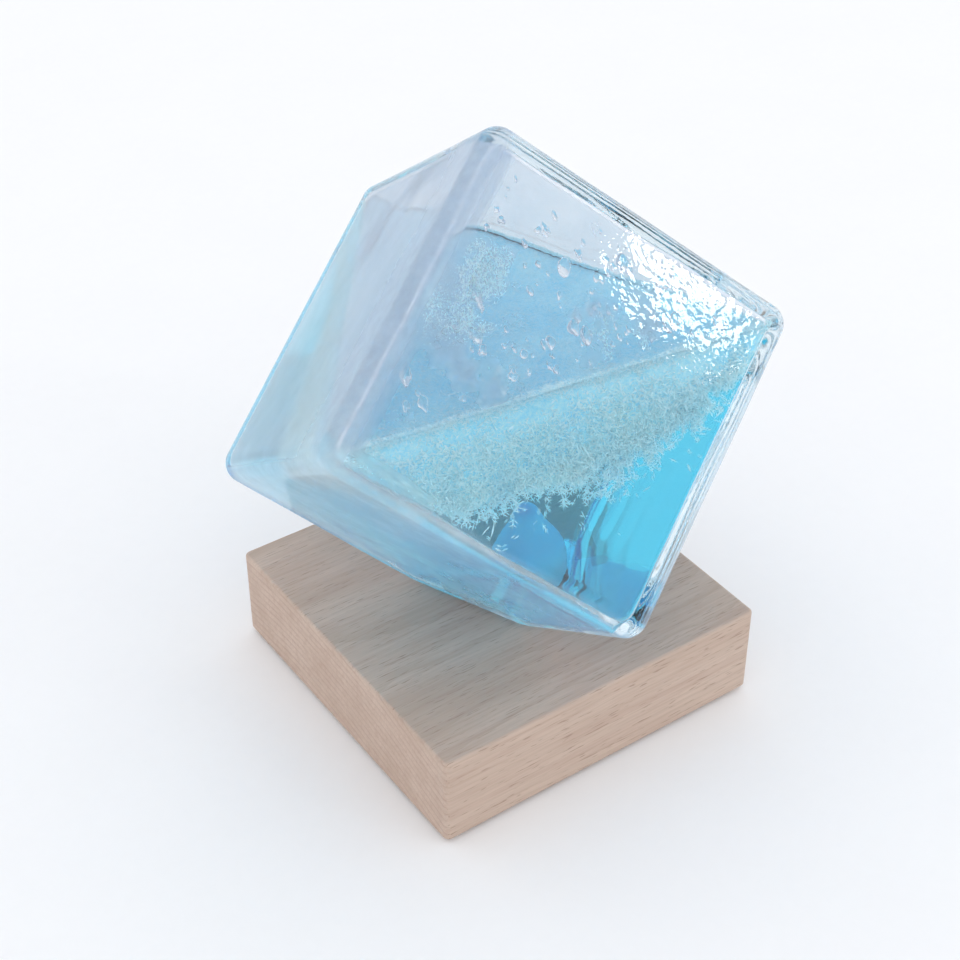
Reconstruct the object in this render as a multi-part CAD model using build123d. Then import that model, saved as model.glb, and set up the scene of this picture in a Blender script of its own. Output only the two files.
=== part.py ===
from build123d import *
import math
import os

# Storm glass: a sealed glass cube of blue camphor solution, standing on one corner on a square beech block.
# Millimetres, +Z up. The origin is the middle of the foot pads' undersides, below the cube's vertical
# diagonal. +X runs along the block's grain and -Y is its long-grain front side.

# Driving dimensions
CUBE_EDGE = 80.0
WALL = 4.0
OUTER_EDGE_RADIUS = 5.0
INNER_EDGE_RADIUS = 2.0
CORNER_EDGE_RADIUS = 1.5

BLOCK_SIDE = 88.0
BLOCK_HEIGHT = 24.0
BLOCK_CORNER_RADIUS = 1.4
BLOCK_ARRIS_RADIUS = 0.8

FOOT_PAD_RADIUS = 6.0
FOOT_PAD_HEIGHT = 1.0
FOOT_PAD_INSET = 11.0

CORNER_BELOW_BLOCK_TOP = 15.2  # how far the cube's sharp corner would reach into the block, were it not cut
FIRST_EDGE_AZIMUTH = 262.8  # degrees from +X of the cube's lower edge that points to the front
LIQUID_BELOW_SHOULDERS = 2.8  # the liquid stands this far under the cube's three upper side corners

NECK_RADIUS = 6.5
NECK_BORE_RADIUS = 4.2
NECK_LENGTH = 11.0
SEAL_HEIGHT = 1.6
STOPPER_HEAD_RADIUS = 8.8  # the head's outline inside the glass, from its straight foot to its blunt tip
STOPPER_FOOT_HEIGHT = 3.6
STOPPER_WAIST_RADIUS = 6.6
STOPPER_WAIST_HEIGHT = 9.5
STOPPER_TIP_RADIUS = 4.0
STOPPER_TIP_HEIGHT = 14.0
STOPPER_HEAD_HEIGHT = 18.0

GROMMET_FLANGE_RADIUS = 9.6
GROMMET_FLANGE_HEIGHT = 0.8
GROMMET_DEPTH = 8.0
RUNNING_GAP = 0.3
GROMMET_WALL = 1.2
SEAT_HOLE_DEPTH = 17.0

SURFACE_CRYSTAL_DEPTH = 11.0
WALL_CRYSTAL_DEPTH = 1.6

# Heights that follow from them
BLOCK_TOP = FOOT_PAD_HEIGHT + BLOCK_HEIGHT
CUBE_DIAGONAL = CUBE_EDGE * math.sqrt(3)
CUBE_CORNER_Z = BLOCK_TOP - CORNER_BELOW_BLOCK_TOP
STANDING_Z = BLOCK_TOP + GROMMET_FLANGE_HEIGHT
SHOULDER_Z = CUBE_CORNER_Z + CUBE_DIAGONAL * 2 / 3
LIQUID_Z = SHOULDER_Z - LIQUID_BELOW_SHOULDERS
NECK_END_Z = STANDING_Z - NECK_LENGTH
CAVITY_FLOOR_Z = STANDING_Z + WALL
GROMMET_BORE_RADIUS = NECK_RADIUS + RUNNING_GAP
GROMMET_SLEEVE_RADIUS = GROMMET_BORE_RADIUS + GROMMET_WALL
SEAT_HOLE_RADIUS = GROMMET_SLEEVE_RADIUS + RUNNING_GAP

CUBE_EDGE_SLOPE = math.asin(1 / math.sqrt(3))  # a cube's edge against the level, with its diagonal upright
FAR = 4 * CUBE_EDGE  # larger than the whole object


def edge_direction(azimuth_degrees):
    """The direction of a lower edge of the cube, going up from its bottom corner."""
    azimuth = math.radians(azimuth_degrees)
    level = math.cos(CUBE_EDGE_SLOPE)
    return Vector(level * math.cos(azimuth), level * math.sin(azimuth), math.sin(CUBE_EDGE_SLOPE))


# The cube's own frame: its origin is the sharp bottom corner, its x edge points to the front, its y edge to
# the back right and its z edge to the left. The front wall is at the far end of x and the left wall of z.
CUBE_FRAME = Plane(
    origin=(0, 0, CUBE_CORNER_Z),
    x_dir=edge_direction(FIRST_EDGE_AZIMUTH),
    z_dir=edge_direction(FIRST_EDGE_AZIMUTH + 240),
)


def rounded_cube(inset, radius):
    """A cube with rounded edges, inset from the vessel's outside, in the row's frame."""
    side = CUBE_EDGE - 2 * inset
    cube = Pos(inset, inset, inset) * Box(side, side, side, align=(Align.MIN, Align.MIN, Align.MIN))
    return CUBE_FRAME.location * fillet(cube.edges(), radius)


def slab(low_z, high_z):
    """Everything between two levels."""
    height = high_z - low_z
    return Pos(0, 0, low_z) * Box(FAR, FAR, height, align=(Align.CENTER, Align.CENTER, Align.MIN))


def disc(radius, low_z, high_z):
    """An upright cylinder on the cube's diagonal."""
    height = high_z - low_z
    return Pos(0, 0, low_z) * Cylinder(radius, height, align=(Align.CENTER, Align.CENTER, Align.MIN))


def make_cavity():
    """The room inside the glass, flat at its bottom corner."""
    return rounded_cube(WALL, INNER_EDGE_RADIUS) & slab(CAVITY_FLOOR_Z, FAR)


def make_glass_vessel(cavity):
    """The blown cube: rounded outside, cut flat at its bottom corner and open there to the filler neck."""
    shell = rounded_cube(0, OUTER_EDGE_RADIUS) & slab(STANDING_Z, FAR)
    foot_edges = shell.faces().sort_by(Axis.Z)[0].edges()
    shell = fillet(foot_edges, CORNER_EDGE_RADIUS)
    return shell - cavity - disc(NECK_BORE_RADIUS, STANDING_Z, CAVITY_FLOOR_Z)


def make_filler_neck():
    """The glass tube under the flat corner."""
    return disc(NECK_RADIUS, NECK_END_Z, STANDING_Z) - disc(NECK_BORE_RADIUS, NECK_END_Z, STANDING_Z)


def make_neck_stopper():
    """The soft plug that fills the neck's bore, with a head that narrows to a blunt tip inside the glass."""
    bottom = (0, 0, CAVITY_FLOOR_Z)
    rim = (STOPPER_HEAD_RADIUS, 0, CAVITY_FLOOR_Z)
    shoulder = (STOPPER_HEAD_RADIUS, 0, CAVITY_FLOOR_Z + STOPPER_FOOT_HEIGHT)
    waist = (STOPPER_WAIST_RADIUS, 0, CAVITY_FLOOR_Z + STOPPER_WAIST_HEIGHT)
    tip_side = (STOPPER_TIP_RADIUS, 0, CAVITY_FLOOR_Z + STOPPER_TIP_HEIGHT)
    tip = (0, 0, CAVITY_FLOOR_Z + STOPPER_HEAD_HEIGHT)
    flank = Spline(shoulder, waist, tip_side, tip, tangents=[(0, 0, 1), (-1, 0, 0)])
    head = revolve(make_face(flank + Polyline(tip, bottom, rim, shoulder)), Axis.Z)
    return disc(NECK_BORE_RADIUS, NECK_END_Z, CAVITY_FLOOR_Z) + head


def make_neck_seal():
    """The drop of sealant over the end of the neck and its stopper."""
    drop = disc(NECK_RADIUS, NECK_END_Z - SEAL_HEIGHT, NECK_END_Z)
    lower_rim = drop.edges().filter_by(GeomType.CIRCLE).sort_by(Axis.Z)[0]
    return fillet(lower_rim, SEAL_HEIGHT * 0.8)


def make_seat_grommet():
    """The soft flanged sleeve that the flat corner stands on and that keeps the neck upright."""
    sleeve = disc(GROMMET_SLEEVE_RADIUS, BLOCK_TOP - GROMMET_DEPTH, BLOCK_TOP)
    flange = disc(GROMMET_FLANGE_RADIUS, BLOCK_TOP, STANDING_Z)
    return sleeve + flange - disc(GROMMET_BORE_RADIUS, BLOCK_TOP - GROMMET_DEPTH, STANDING_Z)


def make_wooden_base():
    """The beech block, with its arrises eased and the round seat hole in the middle of its top."""
    block = Pos(0, 0, FOOT_PAD_HEIGHT) * Box(
        BLOCK_SIDE, BLOCK_SIDE, BLOCK_HEIGHT, align=(Align.CENTER, Align.CENTER, Align.MIN)
    )
    block = fillet(block.edges().filter_by(Axis.Z), BLOCK_CORNER_RADIUS)
    top_outline = block.faces().sort_by(Axis.Z)[-1].edges()
    bottom_outline = block.faces().sort_by(Axis.Z)[0].edges()
    block = fillet(top_outline + bottom_outline, BLOCK_ARRIS_RADIUS)
    return block - disc(SEAT_HOLE_RADIUS, BLOCK_TOP - SEAT_HOLE_DEPTH, BLOCK_TOP)


def make_foot_pads():
    """The four pads under the block's corners, by name."""
    reach = BLOCK_SIDE / 2 - FOOT_PAD_INSET
    pads = {}
    pad = disc(FOOT_PAD_RADIUS, 0, FOOT_PAD_HEIGHT)
    for depth_name, y in (("front", -reach), ("back", reach)):
        for side_name, x in (("left", -reach), ("right", reach)):
            pads[f"{depth_name}_{side_name}_foot_pad"] = Pos(x, y, 0) * pad
    return pads


def wall_patch(low, high):
    """A block between two points of the cube's own frame, in the row's frame."""
    size = [b - a for a, b in zip(low, high)]
    return CUBE_FRAME.location * Pos(*low) * Box(*size, align=(Align.MIN, Align.MIN, Align.MIN))


def make_crystals(cavity):
    """The crystal masses, clear of each other: the floating layer, the growth under it, two wall crusts."""
    layer_floor_z = LIQUID_Z - SURFACE_CRYSTAL_DEPTH
    surface = cavity & slab(layer_floor_z, LIQUID_Z)

    # The growth that hangs from the layer behind the front wall, narrower towards its lower end
    inside = CUBE_EDGE - WALL
    crust_depth = inside - WALL_CRYSTAL_DEPTH
    growth_low = (inside * 0.62, inside * 0.38, inside * 0.16)
    growth = wall_patch(growth_low, (crust_depth, inside * 0.66, inside * 0.86))
    hanging = growth & cavity & slab(CUBE_CORNER_Z + CUBE_DIAGONAL * 0.36, layer_floor_z)

    # Crusts on the walls, under the floating layer
    left = wall_patch((WALL * 4, WALL * 3, crust_depth), (inside - WALL * 2, inside * 0.5, inside))
    left = left & cavity & slab(0, layer_floor_z)
    front = wall_patch((crust_depth, WALL * 4, WALL * 4), (inside, inside * 0.5, inside - WALL * 2))
    front = front & cavity & slab(0, layer_floor_z)
    return {
        "surface_crystals": surface,
        "hanging_crystals": hanging,
        "left_wall_crystals": left,
        "front_wall_crystals": front,
    }


def make_storm_liquid(cavity, stopper, crystals):
    """The liquid, up to its level, around the stopper's head and the crystals."""
    liquid = (cavity & slab(0, LIQUID_Z)) - stopper
    for crystal in crystals.values():
        liquid = liquid - crystal
    return liquid


def main():
    cavity = make_cavity()
    stopper = make_neck_stopper()
    crystals = make_crystals(cavity)
    parts = {
        "wooden_base": make_wooden_base(),
        "seat_grommet": make_seat_grommet(),
        "glass_vessel": make_glass_vessel(cavity),
        "filler_neck": make_filler_neck(),
        "neck_stopper": stopper,
        "neck_seal": make_neck_seal(),
        "storm_liquid": make_storm_liquid(cavity, stopper, crystals),
    }
    parts.update(crystals)
    parts.update(make_foot_pads())

    os.makedirs("parts", exist_ok=True)
    for name, part in parts.items():
        export_step(part, f"parts/{name}.step")


main()
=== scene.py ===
import math
import random

import bmesh
import bpy
import numpy as np
from mathutils import Matrix, Vector, noise


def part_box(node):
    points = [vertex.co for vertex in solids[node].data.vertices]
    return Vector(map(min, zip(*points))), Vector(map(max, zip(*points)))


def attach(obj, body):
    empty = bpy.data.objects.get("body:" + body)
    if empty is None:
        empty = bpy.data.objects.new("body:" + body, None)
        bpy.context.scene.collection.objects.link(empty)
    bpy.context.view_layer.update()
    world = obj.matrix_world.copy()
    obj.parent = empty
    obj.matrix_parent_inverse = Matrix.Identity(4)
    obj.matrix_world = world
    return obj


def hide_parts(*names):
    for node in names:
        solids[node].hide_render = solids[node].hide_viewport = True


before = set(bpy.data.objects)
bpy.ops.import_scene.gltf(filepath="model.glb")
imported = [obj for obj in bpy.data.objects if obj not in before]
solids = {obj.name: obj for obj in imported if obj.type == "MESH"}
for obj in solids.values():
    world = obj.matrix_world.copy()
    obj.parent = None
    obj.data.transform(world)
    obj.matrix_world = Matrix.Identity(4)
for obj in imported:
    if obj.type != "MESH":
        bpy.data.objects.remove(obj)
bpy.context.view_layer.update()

MM = 0.001

# The glass cube, as the frame has it
EDGE = 80.0 * MM
WALL = 4.0 * MM
OUTER_RADIUS = 5.0 * MM
INNER_RADIUS = 2.0 * MM
FIRST_EDGE_AZIMUTH = math.radians(262.8)
TOP_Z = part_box("glass_vessel")[1].z
STANDING_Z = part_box("glass_vessel")[0].z
LIQUID_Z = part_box("surface_crystals")[1].z
CORNER_Z = TOP_Z - EDGE * math.sqrt(3) + OUTER_RADIUS * (math.sqrt(3) - 1)  # of the sharp bottom corner
INSIDE = EDGE - WALL
WETTING = 0.06 * MM  # how far the liquid reaches into the glass, so that no air film shows between them
MENISCUS_CLIMB = 0.2 * MM
MENISCUS_STEPS = ((0.25, 0.12), (0.5, 0.08))  # width and drop of each ring of the meniscus, in mm
ROUGH_SPOT = (66 * MM, 26 * MM)  # the most rippled place of the front wall, along the cube's y and z
OUTSIDE_PAINTED_SHADE = 0.55  # painted shade: how far the haze on the outside takes the darker grey that the milk has above the liquid

# The crystals
CRYSTAL_REACH = 32 * MM  # no crystals deeper than this under the liquid's level
CRYSTAL_STEP = 0.9 * MM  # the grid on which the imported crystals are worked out
HALF_WIDTH = 62 * MM  # a little more than half the width of the whole glass
THINNEST_LAYER = 7 * MM

# How many random spots are tried for each kind of crystal; most of them are left out again
WALL_GRAIN_SPOTS = 340000
SURFACE_GRAIN_SPOTS = 90000
FRONT_FEATHER_SPOTS = 420000
LEFT_FEATHER_SPOTS = 200000
FROST_SPOTS = 80000
FRONT_WATERLINE_SPOTS = 160000
BACK_WATERLINE_SPOTS = 90000

# Patches of dry frost on the front wall: place along the cube's y and z, reach in mm, and weight
FROST_PATCHES = (
    (42, 70, 9, 1.0),
    (50, 66, 7, 0.8),
    (33, 64, 6, 0.8),
    (30, 52, 5, 0.55),
    (56, 38, 6, 0.6),
    (62, 30, 6, 0.6),
)

# The condensed drops
DROP_COUNT = 140
DROP_SIDES = 14
DROP_HEIGHT = 0.28  # as a share of a drop's size
DROP_RINGS = ((0.4, 0.9), (0.72, 0.62), (0.93, 0.25), (1.0, -0.15))  # each ring's width and height


def cube_axes():
    """The cube's own frame: x to the front, y to the back right and z to the left, from its sharp corner."""
    slope = math.asin(1 / math.sqrt(3))
    level = math.cos(slope)
    axes = []
    for step in range(3):
        azimuth = FIRST_EDGE_AZIMUTH + step * math.tau / 3
        axes.append(Vector((level * math.cos(azimuth), level * math.sin(azimuth), math.sin(slope))))
    return np.array(axes).T


CUBE_AXES = cube_axes()
CUBE_CORNER = np.array((0, 0, CORNER_Z))


def from_cube(points):
    """Points of the cube's own frame in the row frame."""
    return np.asarray(points) @ CUBE_AXES.T + CUBE_CORNER


def to_cube(points):
    """Points of the row frame in the cube's own frame."""
    return (np.asarray(points) - CUBE_CORNER) @ CUBE_AXES


# ---------------------------------------------------------------- meshes


def make_object(name, vertices, faces, smooth=True):
    """A mesh object from plain lists."""
    mesh = bpy.data.meshes.new(name)
    mesh.from_pydata([tuple(v) for v in vertices], [], [tuple(f) for f in faces])
    mesh.validate()
    for polygon in mesh.polygons:
        polygon.use_smooth = smooth
    obj = bpy.data.objects.new(name, mesh)
    bpy.context.scene.collection.objects.link(obj)
    return obj


def grid_stops(radius_share, bend_steps, flat_steps):
    """Grid lines from 0 to 1, closer together over the rounded ends."""
    bend = [radius_share * math.tan(math.pi / 4 * i / bend_steps) for i in range(1, bend_steps)]
    start = [0.0] + [radius_share - b for b in reversed(bend)]
    flat = [radius_share + (1 - 2 * radius_share) * i / flat_steps for i in range(flat_steps + 1)]
    return np.array(start + flat + [1 - s for s in reversed(start)])


def rounded_cube(inset, radius, bend_steps=7, flat_steps=50):
    """Vertices, normals and quads of a cube with rounded edges, in the cube's own frame."""
    side = EDGE - 2 * inset
    stops = grid_stops(radius / side, bend_steps, flat_steps)
    n = len(stops)
    keys = {}
    points = []
    quads = []

    def vertex(ijk):
        if ijk not in keys:
            keys[ijk] = len(points)
            points.append([stops[i] for i in ijk])
        return keys[ijk]

    for axis in range(3):
        for end in (0, n - 1):
            for i in range(n - 1):
                for j in range(n - 1):
                    quad = []
                    for a, b in ((i, j), (i + 1, j), (i + 1, j + 1), (i, j + 1)):
                        ijk = [0, 0, 0]
                        ijk[axis] = end
                        ijk[(axis + 1) % 3] = a
                        ijk[(axis + 2) % 3] = b
                        quad.append(vertex(tuple(ijk)))
                    quads.append(quad if end else quad[::-1])
    points = np.array(points) * side
    core = np.clip(points, radius, side - radius)
    normals = points - core
    normals /= np.linalg.norm(normals, axis=1)[:, None]
    return core + normals * radius + inset, normals, quads


def soft_floor(z, level, reach):
    """z, but never under level, with a rounded step of that reach."""
    overlap = np.maximum(reach - np.abs(z - level), 0) / reach
    return np.maximum(z, level) + overlap**2 * reach / 4


def waviness(points, size, seed):
    """Smooth noise of about -1 to 1 at each point."""
    shift = Vector((seed * 3.1, seed * 1.7, seed * 2.3))
    return np.array([noise.noise(Vector(p) / size + shift) * 1.6 for p in points])


def blown_outside():
    """The vessel's outside in the row frame, a little uneven, as hand-blown glass is."""
    inset = 0.15 * MM  # keeps the uneven surface inside the even one
    points, normals, quads = rounded_cube(0, OUTER_RADIUS)
    depth = waviness(points, 24 * MM, 1) * 0.05 * MM + waviness(points, 9 * MM, 2) * 0.025 * MM
    placed = from_cube(points - normals * (inset - depth)[:, None])
    placed[:, 2] = soft_floor(placed[:, 2], STANDING_Z, 2 * MM)
    return placed, quads


def blown_inside(inset):
    """The vessel's inside in the row frame, more uneven than its outside."""
    points, normals, quads = rounded_cube(inset, INNER_RADIUS)
    nearest = np.sort(np.minimum(points - inset, EDGE - inset - points), axis=1)[:, 1]
    edginess = np.exp(-((nearest / (6 * MM)) ** 2))
    broad = waviness(points, 22 * MM, 3) * 0.22 * MM
    depth = broad + waviness(points, 8 * MM, 4) * (0.03 + 0.07 * edginess) * MM
    placed = from_cube(points + normals * depth[:, None])
    placed[:, 2] = soft_floor(placed[:, 2], STANDING_Z + inset, 2 * MM)
    return placed, quads


def make_glass_cube():
    """The thick-walled vessel: its outside, and its inside turned the other way."""
    outside, outer_quads = blown_outside()
    inside, inner_quads = blown_inside(WALL)
    vertices = np.vstack([outside, inside])
    faces = outer_quads + [[i + len(outside) for i in reversed(q)] for q in inner_quads]
    obj = make_object("glass_cube", vertices, faces)
    add_values(obj, "fog", np.concatenate([outer_haze(outside), inner_fog(inside)]))
    # painted shade: above the liquid the haze's milk turns a darker grey, and on the outside a little less
    # so
    dry = dry_share(vertices)
    dry[:len(outside)] *= OUTSIDE_PAINTED_SHADE
    add_values(obj, "dry", dry)
    add_values(obj, "roughness", np.concatenate([outer_ripples(outside), np.zeros(len(inside))]))
    return obj


def add_values(obj, name, values):
    """Stores one number for each vertex, for the material to read."""
    layer = obj.data.attributes.new(name, "FLOAT", "POINT")
    layer.data.foreach_set("value", values)


def ramp(values, low, high):
    """A smooth step from 0 at low to 1 at high."""
    share = np.clip((values - low) / (high - low), 0, 1)
    return share * share * (3 - 2 * share)


def dry_share(points):
    """0 under the liquid's level and 1 above it."""
    return ramp(points[:, 2], LIQUID_Z - 2 * MM, LIQUID_Z + 2 * MM)


def outer_ripples(points):
    """How rippled the vessel's outside is: most around one spot of the front wall."""
    x, y, z = to_cube(points).T
    away = np.hypot(y - ROUGH_SPOT[0], z - ROUGH_SPOT[1]) / (24 * MM)
    return 0.12 + 0.88 * np.exp(-(away**2)) * ramp(x, EDGE - 4 * MM, EDGE - 1 * MM)


def inner_fog(points):
    """How milky the vessel's inside is: most on the left wall, and in front only above the liquid."""
    local = to_cube(points)
    x, y, z = local.T
    dry = dry_share(points)
    left_wall = ramp(z, INSIDE - 6 * MM, INSIDE - 3 * MM)
    front_wall = ramp(x, INSIDE - 5 * MM, INSIDE - 1 * MM)
    lower_left_wall = ramp(-y, -WALL - 6 * MM, -WALL - 1 * MM)
    towards_front = ramp(x, 10 * MM, 45 * MM)
    on_left = left_wall * (0.36 + 0.36 * np.maximum(dry, towards_front * 0.6))
    on_lower_left = lower_left_wall * (0.04 + 0.5 * ramp(z, 38 * MM, 68 * MM))
    on_front = front_wall * np.clip(0.36 + 0.55 * frost_share(local), 0, 0.8) * dry
    return np.maximum(np.maximum(on_left, on_lower_left), np.maximum(on_front, 0.12 * dry))


def frost_share(local):
    """How much of the dry front wall the frost covers, from 0 to about 1."""
    patch = np.zeros(len(local))
    for y, z, reach, weight in FROST_PATCHES:
        away = np.hypot(local[:, 1] - y * MM, local[:, 2] - z * MM) / (reach * MM)
        patch = np.maximum(patch, np.exp(-(away**2)) * weight)
    ragged = lattice_noise(local, 5 * MM, 42) * 0.5 + lattice_noise(local, 1.8 * MM, 43) * 0.4
    return np.clip((patch + ragged * 0.6 - 0.3) / 0.4, 0, 1) * (patch > 0.1)


def outer_haze(points):
    """A faint haze over the left side and its edges, where the blown glass is thickest."""
    x, y, z = to_cube(points).T
    left_wall = ramp(z, EDGE - 8 * MM, EDGE - 3.5 * MM)
    towards_front = ramp(x, EDGE - 24 * MM, EDGE - 8 * MM)
    at_back = ramp(-x, -9 * MM, -4 * MM)
    lower_left_wall = ramp(-y, -4 * MM, -1 * MM)
    right_edge = ramp(x, EDGE - 4.5 * MM, EDGE - 1 * MM) * ramp(-z, -5 * MM, -1.5 * MM)
    on_left = left_wall * (0.2 + 0.33 * np.maximum(towards_front, at_back))
    on_lower_left = lower_left_wall * (0.32 + 0.18 * ramp(z, 25 * MM, 60 * MM))
    return np.maximum(np.maximum(on_left, on_lower_left), right_edge * 0.42)


def make_liquid():
    """The blue solution: the vessel's inside up to the level, with the meniscus along the glass."""
    vertices, quads = blown_inside(WALL - WETTING)
    obj = make_object("storm_solution", vertices, quads)
    work = bmesh.new()
    work.from_mesh(obj.data)
    everything = work.verts[:] + work.edges[:] + work.faces[:]
    edge = (0, 0, LIQUID_Z + MENISCUS_CLIMB)
    bmesh.ops.bisect_plane(work, geom=everything, plane_co=edge, plane_no=(0, 0, 1), clear_outer=True)
    rim = [e for e in work.edges if e.is_boundary]
    surface = bmesh.ops.contextual_create(work, geom=rim)["faces"]
    for width, drop in MENISCUS_STEPS:
        bmesh.ops.inset_region(work, faces=surface, thickness=width * MM, depth=-drop * MM)
    bmesh.ops.recalc_face_normals(work, faces=work.faces[:])
    work.to_mesh(obj.data)
    work.free()
    for polygon in obj.data.polygons:
        polygon.use_smooth = True
    return obj


def lattice_noise(points, size, seed):
    """Smooth noise from -1 to 1 at many points at once."""
    side = 32
    table = np.random.default_rng(seed).uniform(-1, 1, (side, side, side))
    scaled = np.asarray(points) / size + 100.0
    base = np.floor(scaled).astype(int)
    share = scaled - base
    share = share * share * (3 - 2 * share)
    total = np.zeros(len(scaled))
    for corner in np.ndindex(2, 2, 2):
        weight = np.prod(np.where(corner, share, 1 - share), axis=1)
        i, j, k = ((base + corner) % side).T
        total += weight * table[i, j, k]
    return total


def surface_net(field, low, step):
    """A closed mesh round a grid's samples above zero, with a vertex in each cell on its skin."""
    inside = field > 0
    cells = tuple(n - 1 for n in field.shape)
    corner_views = {}
    for corner in np.ndindex(2, 2, 2):
        corner_views[corner] = tuple(slice(corner[a], corner[a] + cells[a]) for a in range(3))
    count = sum(inside[v].astype(int) for v in corner_views.values())
    crossed = (count > 0) & (count < len(corner_views))
    vertices = cell_middles(field, corner_views, crossed) * step + low
    index = np.full(cells, -1)
    index[crossed] = np.arange(len(vertices))
    return vertices, skin_quads(inside, index)


def cell_middles(field, corner_views, crossed):
    """For each crossed cell, the mean of the places where the field is zero on its edges, in grid steps."""
    where = np.argwhere(crossed)
    middle = np.zeros((len(where), 3))
    hits = np.zeros(len(where))
    for start in np.ndindex(2, 2, 2):
        for axis in range(3):
            if start[axis]:
                continue
            end = tuple(1 if a == axis else start[a] for a in range(3))
            a = field[corner_views[start]][crossed]
            b = field[corner_views[end]][crossed]
            cut = (a > 0) != (b > 0)
            place = np.tile(np.array(start, float), (len(where), 1))
            place[:, axis] = np.where(cut, a / np.where(cut, a - b, 1), 0)
            middle += place * cut[:, None]
            hits += cut
    return where + middle / hits[:, None]


def skin_quads(inside, index):
    """A quad for each grid edge that goes from inside to outside, between the four cells around it."""
    quads = []
    for axis in range(3):
        u, v = (axis + 1) % 3, (axis + 2) % 3
        near = tuple(slice(0, -1) if a == axis else slice(1, -1) for a in range(3))
        far = tuple(slice(1, None) if a == axis else slice(1, -1) for a in range(3))
        change = inside[near].astype(int) - inside[far].astype(int)
        for sign in (1, -1):
            edges = np.argwhere(change == sign)
            edges[:, u] += 1
            edges[:, v] += 1
            ring = []
            for du, dv in ((1, 1), (0, 1), (0, 0), (1, 0)):
                cell = edges.copy()
                cell[:, u] -= du
                cell[:, v] -= dv
                ring.append(index[tuple(cell.T)])
            quad = np.array(ring).T
            quads.append(quad if sign == 1 else quad[:, ::-1])
    return np.vstack(quads)


def wall_clearance(points):
    """How far points stand from the nearest inner wall."""
    local = to_cube(points)
    return np.minimum(local - WALL, INSIDE - local).min(axis=1)


def crystal_depth(local):
    """How deep the crystals reach under the liquid's level: deepest behind the front and left walls."""
    x, y, z = local.T
    behind_front = np.exp(-((np.maximum(INSIDE - x, 0) / (15 * MM)) ** 2))
    behind_left = np.exp(-((np.maximum(INSIDE - z, 0) / (12 * MM)) ** 2))
    towards_right = np.clip((y - 33 * MM) / (30 * MM), 0, 1)
    front = behind_front * (16.5 - 9 * towards_right) * MM
    left = behind_left * np.clip((x - 10 * MM) / (50 * MM), 0, 1) * 26 * MM
    return np.maximum(np.maximum(front, left), THINNEST_LAYER)


def crystal_field(points):
    """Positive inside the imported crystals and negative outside, roughly in metres from their skin."""
    local = to_cube(points)
    under = LIQUID_Z - points[:, 2]
    grain = lattice_noise(points, 1.5 * MM, 14)
    lumps = lattice_noise(points, 8 * MM, 11)
    tufts = lattice_noise(points * (1, 1, 0.5), 3.2 * MM, 12)
    top = under - 0.45 * MM + grain * 0.3 * MM + lumps * 0.2 * MM
    bottom = crystal_depth(local) + (lumps * 2.2 + tufts * 1.8 + grain * 0.8) * MM - under
    clear = wall_clearance(points)
    stand_off = (0.6 + np.clip((under - 3 * MM) / (8 * MM), 0, 1) * 1.6) * MM
    sides = clear - stand_off + (grain * 0.4 + tufts * 0.5) * MM
    return np.minimum(np.minimum(top, bottom), np.minimum(sides, clear - 0.4 * MM))


def make_packed_crystals():
    """The layer of fine crystals that floats at the top of the liquid and grows down behind the walls."""
    low = np.array((-HALF_WIDTH, -HALF_WIDTH, LIQUID_Z - CRYSTAL_REACH))
    high = np.array((HALF_WIDTH, HALF_WIDTH, LIQUID_Z + 1 * MM))
    shape = tuple(int(n) for n in np.ceil((high - low) / CRYSTAL_STEP))
    grid = np.stack(np.meshgrid(*[np.arange(n) for n in shape], indexing="ij"), -1).reshape(-1, 3)
    field = crystal_field(grid * CRYSTAL_STEP + low).reshape(shape)
    vertices, quads = surface_net(field, low, CRYSTAL_STEP)
    return make_object("packed_crystals", vertices, quads.tolist())


def needles(roots, tips, widths):
    """Slim three-sided needles from roots to tips, as vertices and triangles."""
    along = tips - roots
    length = np.linalg.norm(along, axis=1)[:, None]
    along = along / length
    side = np.cross(along, np.where(np.abs(along[:, 2:3]) > 0.8, (1.0, 0, 0), (0, 0, 1.0)))
    side /= np.linalg.norm(side, axis=1)[:, None]
    other = np.cross(along, side)
    waist = roots + along * length * 0.4
    corners = [roots, tips]
    for k in range(3):
        turn = math.tau * k / 3
        corners.append(waist + (side * math.cos(turn) + other * math.sin(turn)) * widths[:, None])
    vertices = np.stack(corners, 1).reshape(-1, 3)
    pattern = np.array([(0, 3, 2), (0, 4, 3), (0, 2, 4), (1, 2, 3), (1, 3, 4), (1, 4, 2)])
    faces = (np.arange(len(roots))[:, None, None] * 5 + pattern).reshape(-1, 3)
    return vertices, faces


def unit_vectors(rng, count, flatness=1.0):
    """Random directions; a flatness under 1 keeps them nearer the level."""
    along = rng.normal(size=(count, 3)) * (1, 1, flatness)
    return along / np.linalg.norm(along, axis=1)[:, None]


def ferns(centres, sizes, rng, pairs):
    """Feather-shaped crystals: a spine with pairs of barbs that lean forward, in a random plane each."""
    along = unit_vectors(rng, len(centres))
    across = np.cross(along, unit_vectors(rng, len(centres)))
    across /= np.linalg.norm(across, axis=1)[:, None]
    size = sizes[:, None]
    roots = [centres - along * size * 0.5]
    tips = [centres + along * size * 0.5]
    widths = [sizes * 0.06]
    for k in range(pairs):
        base = centres + along * size * (0.6 * k / pairs - 0.25)
        for sign in (1, -1):
            roots.append(base)
            tips.append(base + (across * sign * 0.85 + along * 0.5) * size * (0.45 - 0.08 * k))
            widths.append(sizes * 0.05)
    return np.vstack(roots), np.vstack(tips), np.concatenate(widths)


def fitting(roots, tips, widths):
    """Only the needles that stay inside the glass and under the liquid's surface."""
    ends = [wall_clearance(p) > 0.25 * MM for p in (roots, tips)]
    under = np.maximum(roots[:, 2], tips[:, 2]) < LIQUID_Z - 0.25 * MM
    keep = ends[0] & ends[1] & under
    return roots[keep], tips[keep], widths[keep]


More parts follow.
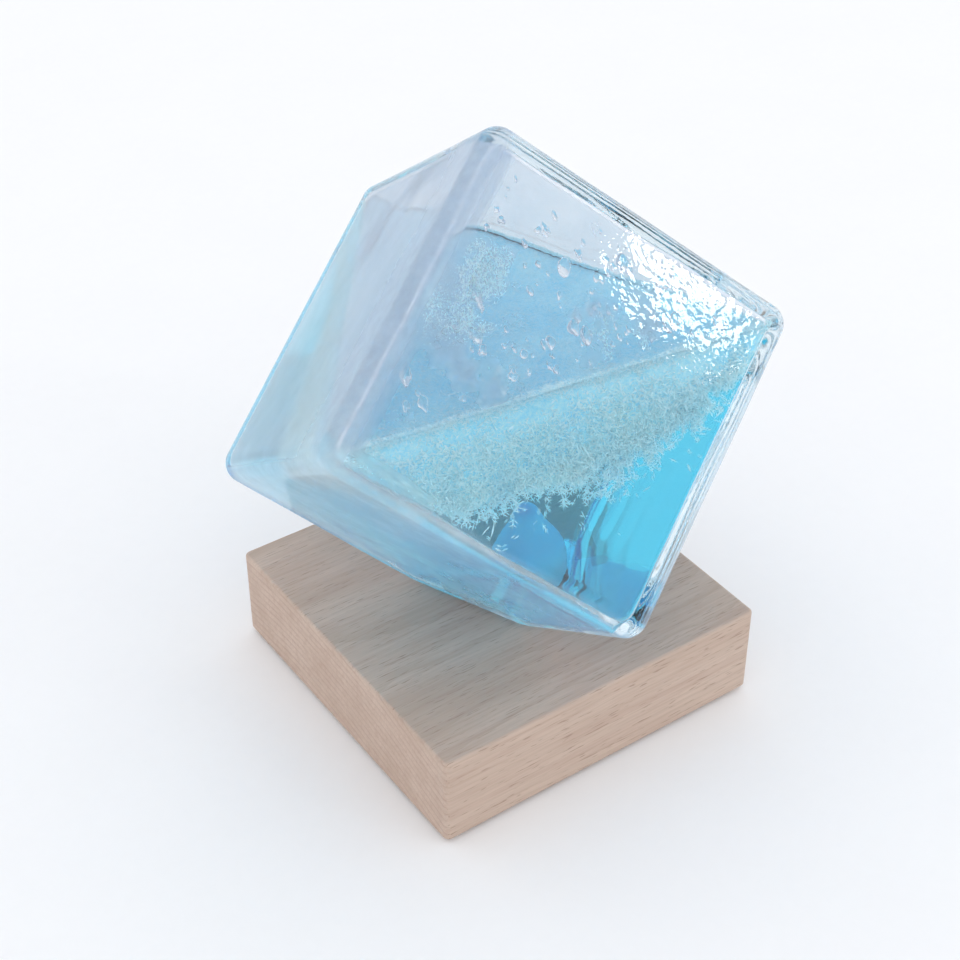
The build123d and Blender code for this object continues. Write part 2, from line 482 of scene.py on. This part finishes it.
def spots_behind_wall(rng, axis, depth, count):
    """Random spots in the liquid within a depth of one wall."""
    local = rng.uniform(WALL, INSIDE, (count, 3))
    local[:, axis] = INSIDE - rng.uniform(0.4 * MM, depth, count)
    spots = from_cube(local)
    under = LIQUID_Z - spots[:, 2]
    return spots[(under > 0.3 * MM) & (under < CRYSTAL_REACH)]


def grains_at(name, rng, spots, lengths):
    """A mesh of single needles at those spots."""
    length = rng.uniform(*lengths, len(spots))
    along = unit_vectors(rng, len(spots), 0.7) * length[:, None] / 2
    roots, tips, widths = fitting(spots - along, spots + along, length * rng.uniform(0.1, 0.17, len(spots)))
    vertices, faces = needles(roots, tips, widths)
    return make_object(name, vertices, faces.tolist(), smooth=False)


def make_wall_grains(name, axis, seed):
    """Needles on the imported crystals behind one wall, and a thin line of them along the liquid's edge."""
    rng = np.random.default_rng(seed)
    spots = spots_behind_wall(rng, axis, 4 * MM, WALL_GRAIN_SPOTS)
    under = LIQUID_Z - spots[:, 2]
    clear = wall_clearance(spots)
    on_skin = (np.abs(crystal_field(spots)) < 0.6 * MM) & (rng.uniform(size=len(spots)) < 0.5)
    at_edge = (under < 2.2 * MM) & (clear < 1.3 * MM) & (rng.uniform(size=len(spots)) < 0.25)
    return grains_at(name, rng, spots[on_skin | at_edge], (0.7 * MM, 2.2 * MM))


def make_top_grains():
    """Needles that lie in the liquid's surface."""
    rng = np.random.default_rng(23)
    low = (-60 * MM, -60 * MM, LIQUID_Z - 0.75 * MM)
    high = (60 * MM, 60 * MM, LIQUID_Z - 0.2 * MM)
    spots = rng.uniform(low, high, (SURFACE_GRAIN_SPOTS, 3))
    clear = wall_clearance(spots)
    streaks = lattice_noise(spots, 5 * MM, 31) + lattice_noise(spots, 1.8 * MM, 32)
    streaks += 2 * ramp(-clear, -1.6 * MM, -0.9 * MM)
    spots = spots[(clear > 0.35 * MM) & (rng.uniform(-0.9, 0.5, len(spots)) < streaks)]
    return grains_at("surface_grains", rng, spots, (0.5 * MM, 1.5 * MM))


def make_hanging_crystals():
    """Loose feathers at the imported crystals' ragged underside, thickest behind the front wall."""
    rng = np.random.default_rng(7)
    front = spots_behind_wall(rng, 0, 16 * MM, FRONT_FEATHER_SPOTS)
    left = spots_behind_wall(rng, 2, 8 * MM, LEFT_FEATHER_SPOTS)
    spots = np.vstack([front, left])
    field = crystal_field(spots)
    local = to_cube(spots)
    near = np.exp(-((np.minimum(INSIDE - local[:, 0], INSIDE - local[:, 2]) / (8 * MM)) ** 2))
    low_side = LIQUID_Z - spots[:, 2] > crystal_depth(local) * 0.72
    chance = np.exp(-np.abs(field) / (1.3 * MM)) * near * np.where(low_side, 0.49, 0.08)
    chosen = (field < 0.4 * MM) & (rng.uniform(size=len(spots)) < chance)
    sizes = rng.uniform(1.3 * MM, 3.8 * MM, chosen.sum())
    roots, tips, widths = fitting(*ferns(spots[chosen], sizes, rng, 2))
    vertices, faces = needles(roots, tips, widths)
    return make_object("hanging_crystal_feathers", vertices, faces.tolist(), smooth=False)


def spots_along_waterline(rng, axis, count):
    """Random spots on one wall in a thin band at the liquid's edge."""
    local = rng.uniform(WALL, INSIDE, (count, 3))
    local[:, axis] = INSIDE - rng.uniform(0.1 * MM, 0.5 * MM, len(local))
    spots = from_cube(local)
    above = spots[:, 2] - LIQUID_Z + lattice_noise(spots, 4 * MM, 51) * 0.4 * MM
    return spots[np.abs(above) < rng.uniform(0.1, 1.1, len(above)) * MM]


def make_frost():
    """Dry crystals in ragged patches on the front wall above the liquid, and thin ones along its edge."""
    rng = np.random.default_rng(41)
    high = (0, INSIDE - 3 * MM, INSIDE - 1 * MM)
    local = rng.uniform((0, 14 * MM, 6 * MM), high, (FROST_SPOTS, 3))
    local[:, 0] = INSIDE - 0.12 * MM
    spots = from_cube(local)
    above = spots[:, 2] > LIQUID_Z + 1.5 * MM
    keep = above & (rng.uniform(size=len(spots)) < frost_share(local) * 0.9)
    edge = spots_along_waterline(rng, 0, FRONT_WATERLINE_SPOTS)
    back_edge = spots_along_waterline(rng, 1, BACK_WATERLINE_SPOTS)
    spots = np.vstack([spots[keep], edge, back_edge])
    turn = rng.uniform(0, math.tau, len(spots))
    length = rng.uniform(0.3 * MM, 1.1 * MM, len(spots))
    flat = np.zeros((len(spots), 3))
    flat[:, 1] = np.cos(turn) * length / 2
    flat[:, 2] = np.sin(turn) * length / 2
    along = flat @ CUBE_AXES.T
    vertices, faces = needles(spots - along, spots + along, length * 0.1)
    return make_object("dry_frost", vertices, faces.tolist(), smooth=False)


def drop_spot(rng):
    """A random spot on the front wall clear of the liquid, along the cube's y and z."""
    while True:
        y = rng.uniform(8 * MM, INSIDE - 4 * MM)
        z = rng.uniform(4 * MM, INSIDE - 4 * MM)
        if from_cube((INSIDE, y, z))[2] >= LIQUID_Z + 2.5 * MM:
            return y, z


def drop_points(rng, y, z):
    """One drop's vertices in the cube's own frame: its top, then its rings, drawn out a little downwards."""
    size = rng.uniform(0.25, 0.75) * MM * (2.1 if rng.random() < 0.2 else 1)
    lobes = [rng.uniform(-0.22, 0.22) for _ in range(3)]
    phase = rng.uniform(0, math.tau)
    stretch = rng.uniform(1.1, 1.9)
    points = [(INSIDE - size * DROP_HEIGHT, y, z)]
    for share, rise in DROP_RINGS:
        for k in range(DROP_SIDES):
            turn = math.tau * k / DROP_SIDES
            unevenness = sum(lobe * math.sin((i + 2) * turn + phase) for i, lobe in enumerate(lobes))
            reach = size * share * (1 + unevenness)
            down = reach * math.cos(turn) * stretch
            across = reach * math.sin(turn)
            place_y = y - (down + across) / math.sqrt(2)
            place_z = z - (down - across) / math.sqrt(2)
            points.append((INSIDE - size * DROP_HEIGHT * rise, place_y, place_z))
    return points


def drop_faces(start):
    """One drop's faces, for vertices that begin at start."""
    rings = [[start + 1 + r * DROP_SIDES + k for k in range(DROP_SIDES)] for r in range(len(DROP_RINGS))]
    after = [(k + 1) % DROP_SIDES for k in range(DROP_SIDES)]
    faces = [(start, rings[0][k], rings[0][m]) for k, m in enumerate(after)]
    for upper, lower in zip(rings, rings[1:]):
        faces += [(upper[k], lower[k], lower[m], upper[m]) for k, m in enumerate(after)]
    return faces + [rings[-1][::-1]]


def make_drops():
    """Condensed drops on the inside of the front wall."""
    rng = random.Random(9)
    vertices = []
    faces = []
    for _ in range(DROP_COUNT):
        faces += drop_faces(len(vertices))
        vertices += drop_points(rng, *drop_spot(rng))
    obj = make_object("condensed_drops", from_cube(vertices), faces)
    work = bmesh.new()
    work.from_mesh(obj.data)
    bmesh.ops.recalc_face_normals(work, faces=work.faces[:])
    work.to_mesh(obj.data)
    work.free()
    return obj


# ---------------------------------------------------------------- materials


class NodeTree:
    """A short way to build one material's node tree."""

    def __init__(self, name):
        self.material = bpy.data.materials.new(name)
        self.material.use_nodes = True
        self.nodes = self.material.node_tree.nodes
        self.links = self.material.node_tree.links
        self.nodes.clear()
        self.out = self.add("ShaderNodeOutputMaterial")

    def add(self, kind, **settings):
        """A new node; each setting is one of its own properties or the value of one of its inputs."""
        node = self.nodes.new(kind)
        for key, value in settings.items():
            if hasattr(node, key):
                setattr(node, key, value)
            else:
                node.inputs[key.replace("_", " ")].default_value = value
        return node

    def link(self, source, target):
        """Joins an output to an input."""
        self.links.new(source, target)


def add_milk(tree, colour, through_share=0.6):
    """A shader of that linked colour that scatters light back and, in that share, through the surface."""
    back = tree.add("ShaderNodeBsdfDiffuse")
    through = tree.add("ShaderNodeBsdfTranslucent")
    mix = tree.add("ShaderNodeMixShader")
    mix.inputs["Fac"].default_value = through_share
    tree.link(colour, back.inputs["Color"])
    tree.link(colour, through.inputs["Color"])
    tree.link(back.outputs[0], mix.inputs[1])
    tree.link(through.outputs[0], mix.inputs[2])
    return mix


def add_share(tree, value, low, high, out_low, out_high):
    """A value's place between low and high, as a number from out_low to out_high."""
    node = tree.add("ShaderNodeMapRange", interpolation_type="SMOOTHSTEP")
    for key, number in zip(("From Min", "From Max", "To Min", "To Max"), (low, high, out_low, out_high)):
        node.inputs[key].default_value = number
    tree.link(value, node.inputs["Value"])
    return node.outputs["Result"]


def add_math(tree, operation, *values):
    """The result of one operation on numbers or linked values."""
    node = tree.add("ShaderNodeMath", operation=operation)
    for socket, value in zip(node.inputs, values):
        if isinstance(value, (int, float)):
            socket.default_value = value
        else:
            tree.link(value, socket)
    return node.outputs[0]


def add_glass_ripples(tree, place):
    """Bumps of two sizes, as deep as the attribute "roughness" says."""
    rippled = tree.add("ShaderNodeAttribute", attribute_name="roughness")
    normal = None
    for size, depth in ((5 * MM, 0.06 * MM), (1.5 * MM, 0.05 * MM)):
        ripples = tree.add("ShaderNodeTexNoise", Scale=1 / size, Detail=1.5, Roughness=0.5)
        bump = tree.add("ShaderNodeBump", Strength=1.0, Distance=depth)
        tree.link(place.outputs["Object"], ripples.inputs["Vector"])
        height = add_math(tree, "MULTIPLY", ripples.outputs["Fac"], rippled.outputs["Fac"])
        tree.link(height, bump.inputs["Height"])
        if normal:
            tree.link(normal, bump.inputs["Normal"])
        normal = bump.outputs["Normal"]
    return normal


def clear_glass():
    """Polished clear glass. Its attributes hold how fogged, how dry and how rippled each place is. Above the
    liquid its milk is painted a darker grey, as painted shade.
    """
    tree = NodeTree("clear_glass")
    place = tree.add("ShaderNodeTexCoord")
    glass = tree.add("ShaderNodeBsdfGlass", Color=(1, 1, 1, 1), IOR=1.5, Roughness=0.0)
    absorb = tree.add("ShaderNodeVolumeAbsorption", Color=(0.3, 0.75, 0.9, 1), Density=2.5)
    fog = tree.add("ShaderNodeAttribute", attribute_name="fog")
    dry = tree.add("ShaderNodeAttribute", attribute_name="dry")
    cloud = tree.add("ShaderNodeTexNoise", Scale=1 / (14 * MM), Detail=5.0, Roughness=0.6)
    patch = add_share(tree, cloud.outputs["Fac"], 0.35, 0.7, 0.7, 1.0)
    # painted shade: above the liquid the milk is lilac-grey instead of white, standing in for the dimmer
    # light seen through the dry glass
    wet_white, painted_shade_grey = (0.93, 0.96, 0.98), (0.6, 0.67, 0.78)
    milk = add_milk(tree, add_tint(tree, dry.outputs["Fac"], wet_white, painted_shade_grey))
    mix = tree.add("ShaderNodeMixShader")
    tree.link(add_glass_ripples(tree, place), glass.inputs["Normal"])
    tree.link(place.outputs["Object"], cloud.inputs["Vector"])
    tree.link(add_math(tree, "MULTIPLY", fog.outputs["Fac"], patch), mix.inputs["Fac"])
    tree.link(glass.outputs[0], mix.inputs[1])
    tree.link(milk.outputs[0], mix.inputs[2])
    tree.link(mix.outputs[0], tree.out.inputs["Surface"])
    tree.link(absorb.outputs[0], tree.out.inputs["Volume"])
    return tree.material


def blue_solution():
    """The clear blue liquid, with a lightly rippled surface."""
    tree = NodeTree("blue_solution")
    place = tree.add("ShaderNodeTexCoord")
    glass = tree.add("ShaderNodeBsdfGlass", Color=(1, 1, 1, 1), IOR=1.37, Roughness=0.0)
    absorb = tree.add("ShaderNodeVolumeAbsorption", Color=(0.0, 0.873, 0.957, 1), Density=60.0)
    height = tree.add("ShaderNodeSeparateXYZ")
    tree.link(place.outputs["Object"], height.inputs[0])
    at_top = add_share(tree, height.outputs["Z"], LIQUID_Z - 1.2 * MM, LIQUID_Z - 0.9 * MM, 0.0, 1.0)
    ripples = tree.add("ShaderNodeTexNoise", Scale=1 / (1.4 * MM), Detail=3.0, Roughness=0.6)
    tree.link(place.outputs["Object"], ripples.inputs["Vector"])
    bump = tree.add("ShaderNodeBump", Strength=1.0, Distance=0.12 * MM)
    tree.link(add_math(tree, "MULTIPLY", ripples.outputs["Fac"], at_top), bump.inputs["Height"])
    tree.link(bump.outputs["Normal"], glass.inputs["Normal"])
    tree.link(glass.outputs[0], tree.out.inputs["Surface"])
    tree.link(absorb.outputs[0], tree.out.inputs["Volume"])
    return tree.material


def water():
    """Clear condensed drops."""
    tree = NodeTree("condensed_water")
    place = tree.add("ShaderNodeTexCoord")
    ripples = tree.add("ShaderNodeTexNoise", Scale=1 / (0.8 * MM), Detail=2.0, Roughness=0.5)
    bump = tree.add("ShaderNodeBump", Strength=1.0, Distance=0.02 * MM)
    glass = tree.add("ShaderNodeBsdfGlass", Color=(1, 1, 1, 1), IOR=1.36, Roughness=0.0)
    tree.link(place.outputs["Object"], ripples.inputs["Vector"])
    tree.link(ripples.outputs["Fac"], bump.inputs["Height"])
    tree.link(bump.outputs["Normal"], glass.inputs["Normal"])
    tree.link(glass.outputs[0], tree.out.inputs["Surface"])
    return tree.material


def stopper_silicone():
    """White silicone stained pale blue, with the thin film of air that clings to it in the liquid."""
    tree = NodeTree("stopper_silicone")
    place = tree.add("ShaderNodeTexCoord")
    cloud = tree.add("ShaderNodeTexNoise", Scale=1 / (3 * MM), Detail=3.0, Roughness=0.5)
    tree.link(place.outputs["Object"], cloud.inputs["Vector"])
    tint = add_tint(tree, cloud.outputs["Fac"], (0.84, 0.99, 1.0), (0.92, 1.0, 1.0))
    silicone = add_milk(tree, tint, 0.2)
    air_film = tree.add("ShaderNodeBsdfGlossy", Color=(0.9, 0.98, 1.0, 1), Roughness=0.55)
    coated = tree.add("ShaderNodeMixShader")
    coated.inputs["Fac"].default_value = 0.5
    tree.link(silicone.outputs[0], coated.inputs[1])
    tree.link(air_film.outputs[0], coated.inputs[2])
    tree.link(coated.outputs[0], tree.out.inputs["Surface"])
    return tree.material


def add_noise(tree, place, lengths, detail=3.0, roughness=0.6):
    """Noise whose blobs have those lengths along X, Y and Z."""
    stretch = tree.add("ShaderNodeMapping")
    stretch.inputs["Scale"].default_value = [1 / length for length in lengths]
    noise_node = tree.add("ShaderNodeTexNoise", Scale=1.0, Detail=detail, Roughness=roughness)
    tree.link(place.outputs["Object"], stretch.inputs["Vector"])
    tree.link(stretch.outputs[0], noise_node.inputs["Vector"])
    return noise_node.outputs["Fac"]


def add_tint(tree, share, under, colour):
    """The colour laid over another one in that share."""
    mix = tree.add("ShaderNodeMix", data_type="RGBA")
    colours = {socket.name: socket for socket in mix.inputs if socket.type == "RGBA"}
    colours["B"].default_value = (*colour, 1)
    if isinstance(under, tuple):
        colours["A"].default_value = (*under, 1)
    else:
        tree.link(under, colours["A"])
    tree.link(share, mix.inputs[0])
    return [o for o in mix.outputs if o.type == "RGBA"][0]


def add_growth_rings(tree, place):
    """Slightly uneven saw-toothed rings along X, round a pith well below the block."""
    pith = tree.add("ShaderNodeMapping")
    pith.inputs["Location"].default_value = (0, -0.02, 0.17)
    rings = tree.add("ShaderNodeTexWave", wave_type="RINGS", rings_direction="X", wave_profile="SAW")
    for key, value in (("Scale", 160.0), ("Distortion", 4.5), ("Detail", 3.0), ("Detail Scale", 0.2)):
        rings.inputs[key].default_value = value
    tree.link(place.outputs["Object"], pith.inputs["Vector"])
    tree.link(pith.outputs[0], rings.inputs["Vector"])
    return rings.outputs["Fac"]


def add_wood_colour(tree, place, rings, fibre):
    """Pale wood in two broad shades, with darker late wood, fibres and streaks along X."""
    broad = add_share(tree, add_noise(tree, place, (90 * MM, 12 * MM, 12 * MM)), 0.3, 0.7, 0.0, 1.0)
    late_wood = add_share(tree, rings, 0.72, 1.0, 0.0, 0.3)
    streak = add_share(tree, add_noise(tree, place, (30 * MM, 1.4 * MM, 1.4 * MM)), 0.42, 0.72, 0.0, 0.45)
    colour = add_tint(tree, broad, (0.55, 0.41, 0.325), (0.63, 0.49, 0.4))
    colour = add_tint(tree, late_wood, colour, (0.42, 0.3, 0.22))
    colour = add_tint(tree, fibre, colour, (0.44, 0.34, 0.27))
    return add_tint(tree, streak, colour, (0.46, 0.31, 0.245))


def add_wood_marks(tree, place, rings, colour):
    """Ring lines on the end grain, and short dark flecks that show mostly on the other sides."""
    end_grain = add_end_share(tree)
    uneven = add_share(tree, add_noise(tree, place, (9 * MM, 9 * MM, 2 * MM)), 0.35, 0.65, 0.25, 1.0)
    lines = add_math(tree, "MULTIPLY", add_share(tree, rings, 0.5, 1.0, 0.0, 0.6), end_grain)
    colour = add_tint(tree, add_math(tree, "MULTIPLY", lines, uneven), colour, (0.44, 0.3, 0.25))
    specks = add_noise(tree, place, (4.5 * MM, 0.26 * MM, 0.55 * MM), 1.0)
    fleck = add_share(tree, specks, 0.61, 0.74, 0.0, 0.6)
    on_sides = add_math(tree, "SUBTRACT", 1.0, add_math(tree, "MULTIPLY", end_grain, 0.85))
    return add_tint(tree, add_math(tree, "MULTIPLY", fleck, on_sides), colour, (0.29, 0.19, 0.14))


def add_end_share(tree):
    """1 on the two end-grain sides of the block and 0 on its other sides."""
    shape = tree.add("ShaderNodeNewGeometry")
    split = tree.add("ShaderNodeSeparateXYZ")
    tree.link(shape.outputs["Normal"], split.inputs[0])
    return add_share(tree, add_math(tree, "ABSOLUTE", split.outputs["X"]), 0.6, 0.8, 0.0, 1.0)


def beech():
    """Pale beech cut from one log, with its grain along X."""
    tree = NodeTree("beech")
    place = tree.add("ShaderNodeTexCoord")
    rings = add_growth_rings(tree, place)
    fibre = add_share(tree, add_noise(tree, place, (14 * MM, 0.5 * MM, 0.5 * MM)), 0.3, 0.75, 0.0, 0.4)
    colour = add_wood_marks(tree, place, rings, add_wood_colour(tree, place, rings, fibre))
    shader = tree.add("ShaderNodeBsdfPrincipled", Roughness=0.62)
    shader.inputs["Specular IOR Level"].default_value = 0.3
    bump = tree.add("ShaderNodeBump", Strength=0.5, Distance=0.06 * MM)
    tree.link(fibre, bump.inputs["Height"])
    tree.link(bump.outputs["Normal"], shader.inputs["Normal"])
    tree.link(colour, shader.inputs["Base Color"])
    tree.link(shader.outputs[0], tree.out.inputs["Surface"])
    return tree.material


def mottled(name, dark, light, grain_size, roughness, bump_depth, specular=0.5):
    """An opaque material whose colour and surface vary at two sizes."""
    tree = NodeTree(name)
    place = tree.add("ShaderNodeTexCoord")
    fine = add_noise(tree, place, [grain_size] * 3, 4.0, 0.65)
    broad = add_noise(tree, place, [grain_size * 9] * 3, 2.0, 0.5)
    both = add_math(tree, "MULTIPLY", add_math(tree, "ADD", fine, broad), 0.5)
    colour = add_tint(tree, add_share(tree, both, 0.35, 0.65, 0.0, 1.0), dark, light)
    shader = tree.add("ShaderNodeBsdfPrincipled")
    shader.inputs["Specular IOR Level"].default_value = specular
    bump = tree.add("ShaderNodeBump", Strength=0.6, Distance=bump_depth)
    tree.link(fine, bump.inputs["Height"])
    tree.link(bump.outputs["Normal"], shader.inputs["Normal"])
    tree.link(colour, shader.inputs["Base Color"])
    uneven_roughness = add_share(tree, broad, 0.3, 0.7, roughness - 0.08, roughness + 0.08)
    tree.link(uneven_roughness, shader.inputs["Roughness"])
    tree.link(shader.outputs[0], tree.out.inputs["Surface"])
    return tree.material


def crystal_material(name, dark, light, grain_size):
    """White camphor: fine grains of uneven brightness, with a little light coming through."""
    tree = NodeTree(name)
    place = tree.add("ShaderNodeTexCoord")
    fine = tree.add("ShaderNodeTexNoise", Scale=1 / grain_size, Detail=3.0, Roughness=0.7)
    broad = tree.add("ShaderNodeTexNoise", Scale=1 / (grain_size * 12), Detail=2.0, Roughness=0.5)
    shades = tree.add("ShaderNodeValToRGB")
    for element, position, colour in zip(shades.color_ramp.elements, (0.5, 0.95), (dark, light)):
        element.position = position
        element.color = (*colour, 1)
    tree.link(place.outputs["Object"], fine.inputs["Vector"])
    tree.link(place.outputs["Object"], broad.inputs["Vector"])
    both = add_math(tree, "MULTIPLY_ADD", broad.outputs["Fac"], 0.5, fine.outputs["Fac"])
    tree.link(both, shades.inputs["Fac"])
    camphor = add_milk(tree, shades.outputs["Color"], 0.12)
    tree.link(camphor.outputs[0], tree.out.inputs["Surface"])
    return tree.material


def give(obj, material):
    """Makes this the object's only material."""
    obj.data.materials.clear()
    obj.data.materials.append(material)


# ---------------------------------------------------------------- stage, lights and camera


def make_stage():
    """The pale floor."""
    bpy.ops.mesh.primitive_plane_add(size=6)
    floor = bpy.context.object
    floor.name = "floor"
    dark, light = (0.915, 0.905, 0.895), (0.925, 0.915, 0.905)
    give(floor, mottled("pale_floor", dark, light, 4 * MM, 0.88, 0.02 * MM, 0.2))


def make_world(colour, strength):
    """The same soft light from everywhere."""
    world = bpy.data.worlds.new("studio")
    world.use_nodes = True
    background = world.node_tree.nodes["Background"]
    background.inputs["Color"].default_value = (*colour, 1)
    background.inputs["Strength"].default_value = strength
    bpy.context.scene.world = world


def area_light(name, place, aim, long_way, size, power):
    """A soft rectangular light at a place, turned to its aim, with its long side along a given direction."""
    data = bpy.data.lights.new(name, "AREA")
    data.shape = "RECTANGLE"
    data.size, data.size_y = size
    data.energy = power
    obj = bpy.data.objects.new(name, data)
    bpy.context.scene.collection.objects.link(obj)
    back = (Vector(place) - Vector(aim)).normalized()
    side = (Vector(long_way) - back * back.dot(Vector(long_way))).normalized()
    turn = Matrix((side, back.cross(side), back)).transposed()
    obj.matrix_world = Matrix.Translation(place) @ turn.to_4x4()
    obj.visible_transmission = False


def make_key_light():
    """A small light from high on the right, whose reflection is the bright patch on the front wall."""
    place = (0.309, -0.573, 0.452)
    aim = (0.03, -0.03, 0.11)
    long_way = (0.056, -0.046, -0.091)
    area_light("key", place, aim, long_way, (0.084, 0.036), 0.17)


def make_camera():
    """The camera, at the photograph's viewing angle."""
    azimuth = math.radians(-35.05)
    elevation = math.radians(37.39)
    distance = 0.4294
    level = math.cos(elevation)
    back = Vector((math.sin(azimuth) * level, -math.cos(azimuth) * level, math.sin(elevation)))
    right = Vector((math.cos(azimuth), math.sin(azimuth), 0))
    aim = Vector((0, 0, 0.0555)) - right * 0.0034
    data = bpy.data.cameras.new("camera")
    data.sensor_width = 36
    data.lens = 69.9
    data.clip_start = 0.01
    camera = bpy.data.objects.new("camera", data)
    bpy.context.scene.collection.objects.link(camera)
    camera.location = aim + back * distance
    camera.rotation_mode = "QUATERNION"
    camera.rotation_quaternion = back.to_track_quat("Z", "Y")
    bpy.context.scene.camera = camera


def set_render_limits():
    """Lets light pass through the many nested surfaces, and keeps the colours as they are."""
    scene = bpy.context.scene
    scene.view_settings.view_transform = "Standard"
    cycles = scene.cycles
    cycles.max_bounces = 40
    cycles.transmission_bounces = 40
    cycles.glossy_bounces = 40
    cycles.diffuse_bounces = 12
    cycles.transparent_max_bounces = 40
    cycles.blur_glossy = 0.0
    cycles.caustics_reflective = True
    cycles.caustics_refractive = True


# ---------------------------------------------------------------- the scene


def place_on_glass(piece, look, slot, *replaced):
    """Ties a piece with its material to the glass body, in place of the named solids if there are any."""
    give(piece, look)
    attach(piece, "glass")
    if replaced:
        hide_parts(*replaced)


make_camera()
set_render_limits()
make_stage()
make_world((0.95, 0.975, 1.02), 1.1)
make_key_light()

glass_look = clear_glass()
packed_look = crystal_material("packed_crystals", (0.24, 0.78, 0.97), (0.66, 0.96, 1.0), 0.8 * MM)
loose_look = crystal_material("loose_crystals", (0.64, 0.94, 1.0), (0.9, 1.0, 1.0), 0.6 * MM)
place_on_glass(make_glass_cube(), glass_look, "clear_glass", "glass_vessel")
place_on_glass(make_liquid(), blue_solution(), "blue_liquid", "storm_liquid")
place_on_glass(make_packed_crystals(), packed_look, "camphor_crystals", "surface_crystals")
place_on_glass(make_hanging_crystals(), loose_look, "camphor_crystals", "hanging_crystals")
front_grains = make_wall_grains("front_wall_grains", 0, 21)
place_on_glass(front_grains, loose_look, "camphor_crystals", "front_wall_crystals")
left_grains = make_wall_grains("left_wall_grains", 2, 22)
place_on_glass(left_grains, loose_look, "camphor_crystals", "left_wall_crystals")
place_on_glass(make_top_grains(), loose_look, "camphor_crystals")
place_on_glass(make_frost(), loose_look, "camphor_crystals")
place_on_glass(make_drops(), water(), "blue_liquid")

grommet_look = mottled("grommet", (0.27, 0.28, 0.29), (0.35, 0.36, 0.37), 0.5 * MM, 0.5, 0.02 * MM)
seal_look = mottled("sealant", (0.78, 0.79, 0.74), (0.88, 0.89, 0.86), 0.7 * MM, 0.25, 0.03 * MM)
felt_look = mottled("pad_felt", (0.16, 0.15, 0.145), (0.3, 0.28, 0.27), 0.25 * MM, 0.92, 0.15 * MM, 0.15)
give(solids["wooden_base"], beech())
give(solids["seat_grommet"], grommet_look)
give(solids["filler_neck"], glass_look)
give(solids["neck_stopper"], stopper_silicone())
give(solids["neck_seal"], seal_look)
for name, solid in solids.items():
    if name.endswith("foot_pad"):
        give(solid, felt_look)
